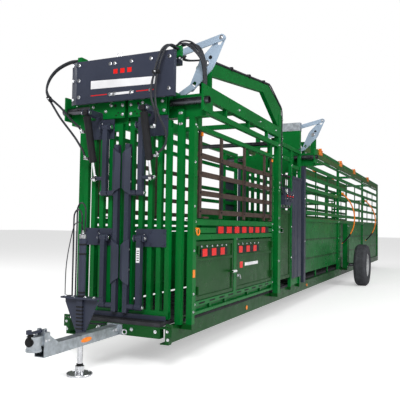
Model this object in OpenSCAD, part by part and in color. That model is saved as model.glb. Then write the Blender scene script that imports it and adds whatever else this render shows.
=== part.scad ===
// Trailer-mounted hydraulic cattle squeeze chute with palpation cage and alley.
// Origin: on the ground under the middle of the machine. +Z up, +X the operator's side,
// -Y the head gate and tongue end. Sections below are written with y = 0 at the front of
// the base frame, and placed() moves them to the shared origin.

/* [Base] */
// Length of the base frame, from the head gate to the alley entrance
base_len = 12510; // [12000:10:13200]
// Half width of the base frame, over its side beams
base_half = 450; // [440:5:460]
// Height of the base frame's underside above the ground
base_z = 200; // [190:5:210]
// Height of the side beams
base_h = 125; // [110:5:130]
// Thickness of the floor plate
deck_t = 30; // [20:1:34]
// Wall thickness of the welded tubes
wall = 4; // [3:0.5:6]

/* [Gates] */
// Radius of the tubes that carry the head gate and tail gate leaves
slide_r = 30; // [28:1:32]
// Height of those tubes
slide_z = 2074; // [2060:1:2090]
// Distance from the machine's middle to a leaf's outer edge, when closed
leaf_half = 410; // [400:1:415]
// Distance between the closed leaves' dark neck bars, halved
neck_gap_half = 32; // [26:1:34]
// Length of each arm of the rockers that pair the leaves
rocker_arm = 235; // [225:1:245]
// Tilt of a rocker from vertical when its leaves are closed
rocker_tilt = 35; // [33:1:36]
// Shift from the head gate to the tail gate
tail_y = 3700; // [3690:5:3710]

/* [Neck extenders] */
// Distance between the pins of each link
link_len = 540; // [520:5:560]
// Height of the upper links' top pins
link_top_z = 1890; // [1885:1:1895]
// Height of the lower links' top pins
link_low_z = 990; // [980:1:1000]
// Distance of the links' pins in front of the base frame's front face
neck_y = 60; // [58:1:62]
// Distance down an upper link from its top pin to the cylinder's pin
rod_drop = 420; // [415:1:425]

/* [Squeeze] */
// Distance from the middle to the outer face of a moving side
side_x = 510; // [505:1:512]
// Height of the top of the moving sides
side_top = 1930; // [1920:1:1940]
// Height of the top of the doors
door_top = 965; // [955:1:975]

/* [Running gear] */
// Radius of the tyres
tyre_r = 390; // [380:1:395]
// Width of the tyres
tyre_w = 235; // [225:1:245]
// Position of the wheels along the machine
wheel_y = 7200; // [7150:10:7300]
// Distance from the middle to each wheel's middle plane
wheel_x = 808; // [800:1:820]
// Position of the jack along the tongue
jack_y = -350; // [-360:1:-345]

/* [Hidden] */
$fn = 48;
fit = 0.05;
base_top = base_z + base_h;
deck_top = base_top + deck_t;
tongue_front = -975;
mid_y = (base_len + tongue_front) / 2;
stroke = 2 * rocker_arm * sin(rocker_tilt);
// Planes of a gate, measured from its own front
leaf_y0 = 105;
leaf_y1 = 145;
tube_y = 182;
header_y0 = 225;
header_y1 = 305;
arm_y0 = 345;
plate_t = 12;
rocker_x = 590;
rocker_z = 2420;
rocker_mid = 68;
slot_r = 18;
slot_pin_r = 10;
pin_r = 12;
cabinet_z = 2465;
// Stations along the machine
front_post_y = [226, 276];
rear_post_y = 2520;
cage_y = [rear_post_y + 20, tail_y + 85];
cage_posts = [3290, cage_y[1] - 50];
lug_holes = [464, 488];
lug_hole_r = 7;
alley_posts = [4110, 6700, 9690, base_len - 60];
stop_y = [6950, 9950];
stop_z = 1750;
// Neck cylinder, from its anchor pin to the pin on the upper link
anchor_y = -80;
anchor_z = link_top_z + 100;
rod_dy = neck_y - anchor_y;
rod_dz = anchor_z - (link_top_z - rod_drop);
rod_reach = sqrt(rod_dy * rod_dy + rod_dz * rod_dz);
rod_lean = atan(rod_dy / rod_dz);
// Positions of single pieces
leaf_bars = [55, 145, 232, 314, 390];
sign_x = [-450, 470];
sign_z = [2091, 2450];
sign_y = 20;
squeeze_tubes = [430, 2370];
front_door_y = [392, 1216];
rear_door_y = [1298, 2408];
cage_door_y = [rear_post_y + 160, 3280];
boom_x = [497, 543];
valve_y = [rear_post_y + 130, rear_post_y + 550];
valve_z = [1400, 1560];
lever_y = [valve_y[0] + 90, valve_y[0] + 210, valve_y[0] + 330];
link_x = [140, 200];
cyl_x = 265;
coupler_y = -912;
ball_r = 25;
latch_y = -840;
latch_z = base_z + 206;
jack_x = -66;
hose_r = 9;
ring_sides = 8;
// Route of the hose that loops out to the left leaf's cylinder
LEFT_ROUTE = [[-450, 70, 2470], [-480, 70, 2470], [-530, 58, 2466], [-590, 36, 2440],
    [-645, 12, 2400], [-690, -8, 2345], [-718, -20, 2285], [-727, -28, 2225],
    [-712, -32, 2180], [-686, -34, 2140], [-630, -34, 2062], [-574, -32, 1985],
    [-520, -26, 1920], [-470, -16, 1855], [-430, -6, 1795], [-400, 4, 1735],
    [-384, 10, 1690], [-378, 14, 1655]];
// Route of the hose that falls over the sign to the right leaf's cylinder
RIGHT_ROUTE = [[440, 150, 2495], [440, 120, 2495], [438, 80, 2498], [432, 40, 2494],
    [424, 5, 2476], [412, -25, 2440], [400, -42, 2390], [385, -52, 2330], [372, -58, 2262],
    [362, -62, 2200], [357, -64, 2130], [357, -64, 2060], [364, -62, 2000],
    [378, -56, 1945], [400, -46, 1890], [425, -30, 1830], [450, -14, 1775],
    [470, 0, 1715], [480, 10, 1655]];

module placed() { translate([0, -mid_y, 0]) children(); }

module both() {
    children();
    mirror([1, 0, 0]) children();
}

module side_of(sign) { mirror([sign < 0 ? 1 : 0, 0, 0]) children(); }

module box(x, y, z) { translate([x[0], y[0], z[0]]) cube([x[1] - x[0], y[1] - y[0], z[1] - z[0]]); }

// A hollow rectangular tube that fills a box and is open at both ends of its longest side.
module tube(x, y, z) {
    size = [x[1] - x[0], y[1] - y[0], z[1] - z[0]];
    longest = max(size);
    translate([x[0], y[0], z[0]])
        difference() {
            cube(size);
            translate([for (s = size) s == longest ? -1 : wall])
                cube([for (s = size) s == longest ? s + 2 : s - 2 * wall]);
        }
}

// A round bar along X, between two x positions.
module rod_x(x, y, z, r) { translate([x[0], y, z]) rotate([0, 90, 0]) cylinder(r = r, h = x[1] - x[0]); }

// A round bar along Y, between two y positions.
module rod_y(x, y, z, r) { translate([x, y[0], z]) rotate([-90, 0, 0]) cylinder(r = r, h = y[1] - y[0]); }

// A flat strap in the XZ plane with round ends, between two points.
module strap(a, b, r) {
    d = b - a;
    length = norm(d);
    for (p = [a, b]) translate(p) circle(r);
    translate(a) rotate(atan2(d[1], d[0])) translate([0, 0.5 - r]) square([length, 2 * r - 1]);
}

// Stands a flat XZ outline up, with its front at y and a given thickness.
module upright(y, t) { translate([0, y + t, 0]) rotate([90, 0, 0]) linear_extrude(t) children(); }

// A hexagonal bolt head with its washer, facing along +X.
module bolt_x(x, y, z, r = 11) {
    translate([x, y, z]) rotate([0, 90, 0]) {
        cylinder(r = r * 1.5, h = 3);
        cylinder(r = r, h = 11, $fn = 6);
    }
}

// The same bolt head, facing along -Y.
module bolt_y(x, y, z, r = 11) { translate([x, y, z]) rotate([0, 0, -90]) bolt_x(0, 0, 0, r); }

// Base and floor --------------------------------------------------------------------

module side_beam() {
    difference() {
        box([base_half - 50, base_half], [0, base_len], [base_z, base_top]);
        box([base_half - 60, base_half - 6], [-1, base_len + 1], [base_z + 8, base_top - 8]);
    }
}

module outrigger(y0, y1, x1) { box([base_half, x1], [y0, y1], [base_top - 40, base_top]); }

// Front corner lug with its two holes for the lowering wheels' pins.
module front_lug() {
    difference() {
        box([base_half, 500], [0, 14], [base_z + 60, deck_top]);
        for (x = lug_holes) rod_y(x, [-1, 15], base_top + 8, lug_hole_r);
    }
    box([base_half, 475], [0, 50], [base_z, base_z + 62]);
}

module base_frame() color("darkgreen") placed() {
    both() {
        side_beam();
        front_lug();
        outrigger(front_post_y[0], front_post_y[1], 555);
        outrigger(rear_post_y, rear_post_y + 100, 550);
        outrigger(cage_posts[0], cage_posts[0] + 40, 490);
        outrigger(cage_posts[1], cage_posts[1] + 50, 490);
        outrigger(wheel_y - 80, wheel_y + 80, 540);
    }
    box([50.5 - base_half, base_half - 50.5], [0, 60], [base_z + 40, base_top]);
    box([50.5 - base_half, base_half - 50.5], [base_len - 60, base_len], [base_z, base_top]);
    for (y = [1250 : 1150 : base_len - 400])
        box([56 - base_half, base_half - 56], [y, y + 50], [base_z + 20, base_top]);
}

module tread_bars(y0, y1, pitch) {
    for (y = [y0 : pitch : y1])
        box([-330, 330], [y, y + 20], [deck_top - 1, deck_top + 9]);
}

module floor_deck() color("dimgray") placed() {
    plate_x = [-395, 395];
    box(plate_x, [5, 3985], [base_top, deck_top]);
    box(plate_x, [3995, base_len - 5], [base_top, deck_top]);
    tread_bars(420, 3700, 230);
    tread_bars(4300, base_len - 300, 300);
    both() {
        box([424, 448], [330, 3600], [base_top, base_top + 22]);
        for (y = [380 : 115 : 3560])
            translate([436, y, base_top + 21]) cylinder(r = 8, h = 8, $fn = 6);
    }
}

// Standing posts --------------------------------------------------------------------

// Guide bars keep the head gate's leaves in line at the floor.
module posts() color("green") placed() {
    for (y = [86, 156]) box([-395, 395], [y, y + 8], [deck_top, deck_top + 40]);
    side_posts();
}

module side_posts() both() {
    tube([430, 480], [175, 225], [base_top, 2015]);
    tube([505, 555], front_post_y, [base_top, 1960]);
    tube([490, 550], [rear_post_y, rear_post_y + 100], [base_top, 2150]);
    tube([400, 500], [tail_y + header_y0, tail_y + header_y0 + 100], [base_top, 1960]);
}

// Gate headers, slide tubes and rockers ----------------------------------------------

// C-shaped beam over a gate, with end plates that hold the slide tube and a rocker post.
module gate_header() {
    difference() {
        box([-650, 650], [header_y0, header_y1], [1960, 2140]);
        box([-651, 651], [header_y0 + 8, header_y1 + 1], [1968, 2132]);
    }
    both() difference() {
        box([650, 665], [140, header_y1], [1990, 2195]);
        rod_x([649, 666], tube_y, slide_z, slide_r);
    }
    difference() {
        union() {
            box([563, 640], [header_y1, arm_y0 + 43], [2020, 2100]);
            upright(arm_y0 + 31, plate_t) strap([rocker_x, 2060], [rocker_x, rocker_z], 40);
        }
        rod_y(rocker_x, [arm_y0 + 30, arm_y0 + 44], rocker_z, 15 + fit);
    }
}

module head_header() color("green") placed() {
    gate_header();
    for (x = [-97, 103, 283]) box([x, x + 8], [26, header_y0], [2145, 2440]);
    for (x = [-97, 103, 283]) box([x, x + 8], [header_y0, header_y1], [2140, 2440]);
    box([283, 458], [150, 190], [2440, 2448]);
    box([422, 458], [150, 190], [2448, 2520]);
    box([sign_x[0], sign_x[0] + 40], [30, 115], [sign_z[1], 2492]);
}

module tail_header() color("green") placed() translate([0, tail_y, 0]) {
    gate_header();
    difference() {
        box([178, 430], [header_y0, header_y1], [2200, cabinet_z]);
        box([184, 424], [header_y0 + 6, header_y1 - 6], [2206, cabinet_z + 1]);
    }
    box([178, 300], [header_y0, header_y1], [2140, 2200]);
}

module hollow_rod_x(x, y, z, r, t) {
    difference() {
        rod_x(x, y, z, r);
        rod_x([x[0] - 1, x[1] + 1], y, z, r - t);
    }
}

module slide_tubes() color("#2b2f36") placed() {
    for (y = [tube_y, tail_y + tube_y]) hollow_rod_x([-700, 700], y, slide_z, slide_r, 6);
    for (y = squeeze_tubes) hollow_rod_x([-510, 510], y, 2055, 24, 5);
}

// Rocker plate with its pivot pin. The leaves' pins slide in a slot at each of its ends,
// because they run straight while the rocker turns.
module rocker(y) {
    reach = [sin(rocker_tilt), cos(rocker_tilt)];
    pivot = [rocker_x, rocker_z];
    slot_in = rocker_arm * cos(rocker_tilt) - 2;
    translate([0, y, 0]) {
        upright(arm_y0 + 17, plate_t) difference() {
            union() {
                strap(pivot - rocker_arm * reach, pivot + rocker_arm * reach, 28);
                translate(pivot) rotate(-rocker_tilt)
                    polygon([[-rocker_mid, -20], [-26, -rocker_arm], [26, -rocker_arm],
                        [rocker_mid, -20], [rocker_mid, 20], [26, rocker_arm],
                        [-26, rocker_arm], [-rocker_mid, 20]]);
            }
            for (s = [-1, 1])
                strap(pivot + s * slot_in * reach, pivot + s * (rocker_arm + 2) * reach, slot_r);
        }
        rod_y(rocker_x, [arm_y0 + 17, arm_y0 + 50], rocker_z, 15);
    }
}

module rocker_front() color("lightsteelblue") placed() rocker(0);
module rocker_rear() color("lightsteelblue") placed() rocker(tail_y);

// Sign panel and fasteners ------------------------------------------------------------

module sign_panel() color("darkslategray") placed() {
    box(sign_x, [sign_y, sign_y + 6], sign_z);
    translate([sign_x[0], sign_y, sign_z[0]]) rotate([0, 0, -18]) translate([-64, 0, 0])
        cube([64, 6, sign_z[1] - sign_z[0]]);
    box([sign_x[0] + 5, sign_x[1]], [sign_y + 5, 60], [sign_z[1] - 6, sign_z[1]]);
    box([sign_x[0] + 5, sign_x[1]], [sign_y + 5, 50], [sign_z[0], sign_z[0] + 6]);
    box([sign_x[1] - 6, sign_x[1]], [sign_y + 5, 60], sign_z);
}

module frame_bolts() color("silver") placed() {
    for (x = [-114, -72, 86, 266, 430], z = [2150, 2400]) bolt_y(x, sign_y, z);
    for (z = [2150, 2290, 2420]) bolt_y(-425, sign_y, z);
    for (z = [1040, 1095, 1560, 1615]) bolt_x(550, rear_post_y + 50, z);
    for (z = [700, 1200, 2060], y = [rear_post_y + 30]) bolt_x(550, y, z);
    both() for (x = [150, 360]) bolt_y(x, 0, base_top - 35, 9);
    for (y = [-40, -80]) bolt_x(40, y, base_top - 42, 9);
    both() for (y = [wheel_y - 55, wheel_y + 55], z = [360, 900, 1130]) bolt_x(540, y, z, 12);
}

// Squeeze frame -----------------------------------------------------------------------

module squeeze_rails() color("green") placed() {
    both() {
        tube([500, 550], [420, rear_post_y + 100], [2150, 2270]);
        tube([511, 549], [header_y1 + 1, rear_post_y], [2030, 2080]);
        for (y = [420, 900, 1500, 2100]) box([513, 547], [y, y + 25], [2080, 2152]);
    }
    for (y = [700, 1400, 2100]) tube([-500, 500], [y, y + 50], [2210, 2260]);
}

// Moving side: welded frame with its hangers on the squeeze tubes.
module squeeze_side() {
    inner = side_x - 40;
    x = [inner, side_x];
    yy = [345, 2455];
    tube(x, yy, [side_top - 40, side_top]);
    tube(x, yy, [1100, 1150]);
    tube(x, [yy[0] + 40, yy[1] - 40], [1035, 1080]);
    tube(x, yy, [980, 1025]);
    tube(x, yy, [440, 480]);
    box([inner, inner + 6], yy, [375, 440]);
    box([side_x - 12, side_x], yy, [375, 400]);
    for (y = [yy[0], yy[1] - 40]) tube(x, [y, y + 40], [375, side_top - 40]);
    tube(x, [1222, 1292], [480, 980]);
    for (y = [700, 1050, 1650, 2050]) box([inner + 8, inner + 22], [y, y + 40], [400, 440]);
    for (y = squeeze_tubes) difference() {
        box([inner, side_x - 3], [y - 40, y + 40], [side_top, 2092]);
        rod_x([inner - 1, side_x], y, 2055, 24 + fit);
    }
}

module squeeze_side_left() color("green") placed() mirror([1, 0, 0]) {
    squeeze_side();
    box([side_x - 24, side_x - 20], [345, 2455], [460, 1000]);
}
module squeeze_side_right() color("green") placed() squeeze_side();

// Drop panel: rubber-faced slats on three upright bars, hinged along its lower edge.
module side_slats() {
    slat_z = [1215, 1370, 1530, 1685];
    for (z = slat_z) box([side_x - 32, side_x - 10], [392, 2408], [z - 22, z + 22]);
    for (y = [420, 870, 1465, 2100, 2350])
        box([side_x - 12, side_x + 4], [y, y + 45], [1160, 1882]);
    for (y = [500, 2250]) rod_y(side_x + 4, [y, y + 100], 1165, 8);
}

module side_slats_left() color("#3a2b26") placed() mirror([1, 0, 0]) side_slats();
module side_slats_right() color("#3a2b26") placed() side_slats();

// Door leaf with its frame; the sheet sits behind the rails.
module door(y0, y1, hinge_y) {
    x = [side_x - 24, side_x - 4];
    z = [486, door_top];
    box([side_x - 18, side_x - 14], [y0, y1], z);
    box(x, [y0, y1], [z[0], z[0] + 30]);
    box(x, [y0, y1], [z[1] - 30, z[1]]);
    box(x, [y0, y0 + 30], z);
    box(x, [y1 - 30, y1], z);
    box(x, [y0, y1], [800, 825]);
    for (zz = [530, 860]) translate([side_x + 8, hinge_y, zz]) cylinder(r = 9, h = 70);
    for (zz = [530, 860]) box([side_x - 6, side_x + 8], [hinge_y - 9, hinge_y + 9], [zz, zz + 70]);
}

module door_front() color("green") placed() {
    door(front_door_y[0], front_door_y[1], front_door_y[0] + 20);
    rod_y(side_x + 30, [1120, 1216], 675, 10);
    for (y = [1130, 1206]) rod_x([side_x - 16, side_x + 30], y, 675, 8);
}

module door_rear() color("green") placed() door(rear_door_y[0], rear_door_y[1], rear_door_y[1] - 20);

// Hose boom, hoses and valves ---------------------------------------------------------

module hose_boom() color("green") placed() {
    foot_y = rear_post_y + 100;
    upright_yz(boom_x[0], boom_x[1] - boom_x[0])
        polygon([[500, 2480], [500, 2366], [1950, 2552], [2506, 2272], [foot_y - 2, 2272],
            [foot_y, 2500], [2120, 2668]]);
    tube([490, 550], [rear_post_y, foot_y], [2270, 2420]);
    box([boom_x[0] + 4, boom_x[1] - 4], [504, 556], [2270, 2400]);
}

// Stands a flat YZ outline up, with its low face at x and a given thickness.
module upright_yz(x, t) { translate([x, 0, 0]) rotate([90, 0, 90]) linear_extrude(t) children(); }

module boom_hoses() color("#1b1b1d") placed()
    for (i = [0 : 3]) {
        x = 499 + 16 * i;
        drop_y = rear_post_y + 131;
        hose([[x, 520, 2496], [x, 1300, 2584], [x, 2060, 2677], [x, 2120, 2681],
            [x, 2190, 2674], [x, 2460, 2579], [x, drop_y - 39, 2524], [x, drop_y - 7, 2494],
            [x, drop_y, 2440], [x, drop_y, 1600], [x + 4, drop_y + 8, 1545],
            [x + 8, drop_y + 22, 1506], [x + 10, valve_y[0] + 32, 1490],
            [x + 10, valve_y[0] + 43, 1490]], 7.5, [1, 0, 0]);
    }

module valve_bank() color("#33363d") placed() {
    for (y = lever_y) box([510, 580], [y - 45, y + 45], [valve_z[0], valve_z[1] - 20]);
    box([500, 590], [valve_y[0] + 20, valve_y[1] - 120], [valve_z[0] - 40, valve_z[0]]);
    box([500, 512], [rear_post_y + 100, valve_y[1] - 120], [valve_z[0] - 12, valve_z[0]]);
    for (y = lever_y) difference() {
        box([530, 570], [y - 16, y + 16], [valve_z[1] - 20, valve_z[1] + 16]);
        box([529, 571], [y - 6.5, y + 6.5], [valve_z[1] - 15, valve_z[1] + 17]);
        rod_y(550, [y - 17, y + 17], valve_z[1], 5 + fit);
    }
}

module valve_lever(i) color("#1f2226") placed() {
    y = lever_y[i];
    rod_y(550, [y - 20, y + 20], valve_z[1], 5);
    rod_y(550, [y - 6, y + 6], valve_z[1], 12);
    translate([550, y, valve_z[1]])
        rotate_extrude() polygon([[0, 0], [5, 0], [5, 144], [13, 147], [18, 158], [16, 170],
            [10, 177], [0, 179]]);
}
module valve_lever_1() valve_lever(0);
module valve_lever_2() valve_lever(1);
module valve_lever_3() valve_lever(2);

// Palpation cage ----------------------------------------------------------------------

module palpation_frame() color("green") placed() {
    both() {
        tube([450, 490], cage_y, [2100, 2150]);
        tube([450, 490], [cage_posts[1], cage_posts[1] + 50], [base_top, 2100]);
    }
    for (z = [1400, 1560, 1720, 1880])
        both() box([462, 478], [3330, cage_y[1] - 50], [z, z + 45]);
    both() tube([450, 490], [cage_posts[0], cage_posts[0] + 40], [base_top, 2100]);
    box([466, 472], [3330, cage_y[1] - 50], [base_top + 10, 1320]);
    box([462, 478], [cage_y[0] + 80, 3290], [1950, 1995]);
    mirror([1, 0, 0]) {
        box([466, 472], [rear_post_y + 60, cage_y[1] - 50], [base_top + 10, 1320]);
        for (z = [1400, 1560, 1720, 1880])
            box([462, 478], [rear_post_y + 60, 3290], [z, z + 45]);
    }
}

module palpation_door() color("green") placed() {
    slot_y = cage_door_y[0] + 180;
    hinge_y = cage_door_y[0] - 6;
    difference() {
        union() {
            box([468, 474], cage_door_y, [450, 1310]);
            for (z = [450, 1270]) box([462, 482], cage_door_y, [z, z + 40]);
            for (y = [cage_door_y[0], cage_door_y[1] - 40]) box([462, 482], [y, y + 40], [450, 1310]);
        }
        box([460, 484], [slot_y, slot_y + 110], [1030, 1075]);
    }
    for (z = [520, 1160]) translate([494, hinge_y, z]) cylinder(r = 10, h = 80);
    for (z = [520, 1160]) box([480, 494], [hinge_y - 8, hinge_y + 30], [z, z + 80]);
}

// Tail gate ---------------------------------------------------------------------------

// One gate leaf: bars, rails, the carriage that hangs on the slide tube.
module gate_leaf() {
    y = [leaf_y0, leaf_y1];
    for (x = leaf_bars) tube([x - 20, x + 20], y, [deck_top + 75, 1860]);
    tube([35, leaf_half], y, [deck_top + 15, deck_top + 75]);
    tube([35, leaf_half], y, [1860, 1920]);
    box([8, 365], [leaf_y1, leaf_y1 + 6], [1870, 2120]);
    for (x = [66, 300]) difference() {
        box([x, x + 60], [leaf_y1 + 1, tube_y + 36], [2034, 2114]);
        rod_x([x - 1, x + 61], tube_y, slide_z, slide_r + fit);
    }
}

// Pin that an arm carries through the rocker's slot.
module slot_pin(x, z) { rod_y(x, [arm_y0 + plate_t - 1, arm_y0 + 30], z, slot_pin_r); }

// Arm from the left leaf over the header to the rocker's upper slot.
module sync_arm() {
    pin = [rocker_x + stroke / 2, rocker_z + rocker_arm * cos(rocker_tilt)];
    riser = [-200, -150];
    box(riser, [leaf_y1 + 2, 215], [2108, 2410]);
    box(riser, [leaf_y1 + 2, arm_y0 + plate_t], [2380, 2410]);
    upright(arm_y0, plate_t) strap([riser[0] + 34, 2410], pin, 28);
    slot_pin(pin[0], pin[1]);
}

// Lug from the right leaf, behind the header, to the rocker's lower slot.
module sync_lug() {
    pin = [rocker_x - stroke / 2, rocker_z - rocker_arm * cos(rocker_tilt)];
    box([320, 365], [leaf_y1 + 2, 215], [2110, 2180]);
    box([320, 365], [leaf_y1 + 2, arm_y0 + plate_t], [2152, 2180]);
    upright(arm_y0, plate_t) strap([352, 2168], pin, 26);
    slot_pin(pin[0], pin[1]);
}

module tail_leaf_left() color("green") placed() translate([0, tail_y, 0]) {
    mirror([1, 0, 0]) gate_leaf();
    sync_arm();
}

module tail_leaf_right() color("green") placed() translate([0, tail_y, 0]) {
    gate_leaf();
    sync_lug();
}

// Cabinet over the tail gate that covers the gate's cylinder.
module power_box() color("silver") placed() translate([0, tail_y + 225, 0])
    difference() {
        box([160, 436], [-4, 84], [cabinet_z, cabinet_z + 118]);
        box([166, 430], [2, 78], [cabinet_z - 1, cabinet_z + 112]);
    }

// Head gate ---------------------------------------------------------------------------

// A pair of ears with a pin between them, on a bolted plate, for one neck-extender link.
module link_bracket(z, plate_z) {
    box([115, 385], [leaf_y0 - 10, leaf_y0], plate_z);
    for (x = [122, 207]) difference() {
        box([x, x + 10], [neck_y - 24, leaf_y0 - 5], [z - 26, z + 26]);
        rod_x([x - 1, x + 11], neck_y, z, pin_r - 1);
    }
    rod_x([118, 221], neck_y, z, pin_r);
    for (x = [250, 370], zz = [plate_z[0] + 22, plate_z[1] - 22]) bolt_y(x, leaf_y0 - 10, zz, 9);
}

module cylinder_anchor() {
    for (x = [230, 292]) box([x, x + 8], [anchor_y - 16, leaf_y0 - 5], [anchor_z - 16, anchor_z + 25]);
    box([230, 300], [leaf_y0 - 10, leaf_y0], [anchor_z - 40, anchor_z + 25]);
    box([230, 300], [leaf_y0 - 2, leaf_y1 + 1], [1919, anchor_z + 25]);
    rod_x([226, 304], anchor_y, anchor_z, 10);
}

module head_leaf() {
    gate_leaf();
    link_bracket(link_top_z, [1800, 1960]);
    link_bracket(link_low_z, [925, 1065]);
    cylinder_anchor();
}

module head_leaf_left() color("green") placed() {
    mirror([1, 0, 0]) head_leaf();
    sync_arm();
}

module head_leaf_right() color("green") placed() {
    head_leaf();
    sync_lug();
}

module neck_link(z, low_fit, with_rod_pin) {
    difference() {
        union() {
            box([link_x[0] + 9, link_x[1] - 9], [neck_y - 20, neck_y + 20], [z - link_len, z]);
            for (zz = [z, z - link_len]) rod_x(link_x, neck_y, zz, 24);
        }
        rod_x([link_x[0] - 1, link_x[1] + 1], neck_y, z, pin_r + fit);
        rod_x([link_x[0] - 1, link_x[1] + 1], neck_y, z - link_len, pin_r + low_fit);
    }
    if (with_rod_pin) {
        rod_x([link_x[1] - 10, 292], neck_y, z - rod_drop, 10);
        rod_x([link_x[1] - 10, 246], neck_y, z - rod_drop, 17);
    }
}

module neck_upper_link(sign) color("#30353d") placed() side_of(sign) neck_link(link_top_z, fit, true);
module neck_lower_link(sign) color("#30353d") placed() side_of(sign) neck_link(link_low_z, 0.5, false);
module neck_upper_link_left() neck_upper_link(-1);
module neck_upper_link_right() neck_upper_link(1);
module neck_lower_link_left() neck_lower_link(-1);
module neck_lower_link_right() neck_lower_link(1);

// Neck bar: the long tube, its two folded plates and the pins that the links carry.
module neck_bar(sign) color("#23272e") placed() side_of(sign) {
    x0 = neck_gap_half;
    low = link_low_z - link_len;
    top = link_top_z - link_len;
    tube([x0, x0 + 40], [neck_y - 20, neck_y + 20], [low - 45, 1740]);
    for (z = [top, low]) {
        rod_x([x0 + 39, 206], neck_y, z, pin_r);
        rod_x([x0 + 39, 132], neck_y, z, 22);
    }
    for (z = [[620, 985], [1335, 1715]]) intersection() {
        translate([0, neck_y, z[0]]) linear_extrude(z[1] - z[0])
            polygon([[8, -19.9], [8, -26], [46, -46], [86, -19.9]]);
        upright(neck_y - 50, 60)
            polygon([[0, z[0] + 60], [0, z[1] - 60], [90, z[1] + 4], [90, z[0] - 4]]);
    }
}
module neck_bar_left() neck_bar(-1);
module neck_bar_right() neck_bar(1);

// Puts a cylinder's pieces, drawn downwards from its anchor pin, at their lean.
module cylinder_place(sign) {
    placed() side_of(sign) translate([cyl_x, anchor_y, anchor_z]) rotate([rod_lean, 0, 0]) children();
}

module neck_barrel(sign) color("#15171a") cylinder_place(sign) {
    difference() {
        rotate([0, 90, 0]) translate([0, 0, -20]) cylinder(r = 24, h = 40);
        rotate([0, 90, 0]) translate([0, 0, -21]) cylinder(r = 10 + fit, h = 42);
    }
    difference() {
        union() {
            translate([0, 0, -400]) cylinder(r = 30, h = 366);
            translate([0, 0, -36]) cylinder(r = 18, h = 16);
        }
        translate([0, 0, -392]) cylinder(r = 24.5, h = 345);
        translate([0, 0, -401]) cylinder(r = 12.5 + fit, h = 10);
    }
    for (z = [-150, -370]) translate([28, 0, z]) rotate([0, 90, 0]) cylinder(r = 10, h = 30);
}

module neck_rod(sign) color("gainsboro") cylinder_place(sign) {
    eye_r = 17;
    translate([0, 0, -rod_reach + 24]) cylinder(r = 12.5, h = rod_reach - 24 - 230);
    translate([0, 0, -250]) cylinder(r = 24.4, h = 22);
    difference() {
        translate([-13, 0, -rod_reach]) rotate([0, 90, 0]) cylinder(r = 28, h = 26);
        translate([-14, 0, -rod_reach]) rotate([0, 90, 0]) cylinder(r = eye_r, h = 28);
    }
}
module neck_barrel_left() neck_barrel(-1);
module neck_barrel_right() neck_barrel(1);
module neck_rod_left() neck_rod(-1);
module neck_rod_right() neck_rod(1);

// Alley -------------------------------------------------------------------------------

module alley_side() {
    x = [410, base_half];
    for (i = [0 : 2]) {
        y = [alley_posts[i], alley_posts[i + 1] + 60];
        for (z = [1290, 1465, 1640, 1815, 1985]) box([414, 446], y, [z, z + 55]);
        box([420, 425], y, [base_top + (i == 0 ? 105 : 0), 1200]);
        for (s = [1 / 3, 2 / 3]) {
            rib_y = (1 - s) * y[0] + s * y[1];
            box([x[0] - 6, 419], [rib_y, rib_y + 40], [base_top, 2050]);
        }
        box(x, y, [1180, 1230]);
        box(x, y, [2282, 2332]);
        box(x, y, [2150, 2180]);
    }
    for (y = alley_posts) tube(x, [y, y + 60], [base_top, 2282]);
    for (y = stop_y) difference() {
        box(x, [y - 32, y + 32], [1640, 1870]);
        rod_x([x[0] - 1, x[1] + 1], y, stop_z, 16 + fit);
    }
}

module alley_sides() color("darkgreen") placed() both() alley_side();

module alley_arches() color("darkgreen") placed()
    for (y = alley_posts) box([-410, 410], [y, y + 60], [2282, 2332]);

// Orange cleats that lock the arches at the width set.
module alley_cleats() color("darkorange") placed() both()
    for (y = [5050, 6800, 8350, 10400]) {
        box([400, 470], [y, y + 210], [2332, 2344]);
        box([450, 462], [y, y + 210], [2262, 2333]);
        box([400, 470], [y + 90, y + 120], [2343, 2372]);
    }

// One-way gate: a shaft with a frame that hangs across the alley.
module stop_gate(i) color("green") placed() {
    y = stop_y[i];
    rod_x([-462, 462], y, stop_z, 16);
    for (x = [-340, 310]) box([x, x + 30], [y - 8, y + 8], [1130, stop_z]);
    for (z = [1130, 1330, 1530]) box([-340, 340], [y - 8, y + 8], [z, z + 40]);
    both() rod_x([452, 462], y, stop_z, 28);
}
module stop_gate_1() stop_gate(0);
module stop_gate_2() stop_gate(1);

// Bowed handle that hangs from the gate's shaft, outside the alley.
module stop_handle(i) color("orange") placed() {
    bow_r = 605;
    half_angle = 51.7;
    translate([98, stop_y[i], 1275]) rotate([90, 0, 0]) rotate([0, 0, -half_angle])
        rotate_extrude(angle = 2 * half_angle, $fn = 180) translate([bow_r, 0]) circle(12, $fn = 24);
    rod_x([462, 500], stop_y[i], stop_z, 22);
}
module stop_handle_1() stop_handle(0);
module stop_handle_2() stop_handle(1);

// Running gear ------------------------------------------------------------------------

module axle_brackets() color("green") placed() both()
    difference() {
        box([base_half, 540], [wheel_y - 80, wheel_y + 80], [base_top, 1180]);
        box([base_half - 1, 532], [wheel_y - 72, wheel_y + 81], [520, 1172]);
        rod_x([base_half - 1, 541], wheel_y, tyre_r, 32);
    }

module stub_axles() color("#26282c") placed() both() {
    rod_x([base_half, 640], wheel_y, tyre_r, 32);
    rod_x([640, 800], wheel_y, tyre_r, 24);
}

// Ring turned about the wheel's axis, from an outline of [radius, across] points.
module wheel_turned(sign, outline) {
    placed() side_of(sign) translate([wheel_x, wheel_y, tyre_r]) rotate([0, 90, 0])
        rotate_extrude($fn = 96) polygon(outline);
}

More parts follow.
